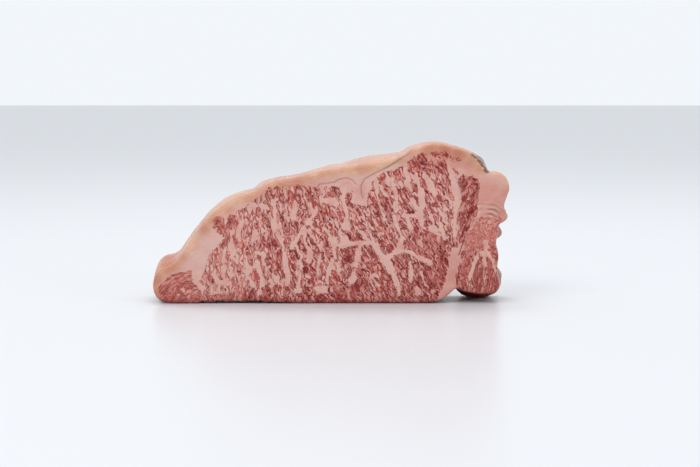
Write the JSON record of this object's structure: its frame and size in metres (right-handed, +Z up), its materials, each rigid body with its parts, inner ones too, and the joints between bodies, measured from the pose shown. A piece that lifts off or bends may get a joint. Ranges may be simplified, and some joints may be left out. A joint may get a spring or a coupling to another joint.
{
  "type": "raw sirloin steak",
  "caption": "Thick-cut raw beef sirloin steak, heavily marbled, with a fat cap, a tail and a chine-side muscle, standing on its flat lower edge.",
  "frame": {"origin": "on the surface the steak stands on, under the middle of its bounding box", "axes": "+X along the cut face from the tail to the chine end, +Y through the thickness from the front cut face to the back one, +Z up towards the fat cap"},
  "size_m": [0.2379, 0.042, 0.1075],
  "materials": {
    "raw_meat": "moist satin raw beef: pink-red lean with pale marbling and a cream fat cap"
  },
  "bodies": {
    "root": {"sirloin_steak": "raw_meat"}
  },
  "joints": []
}
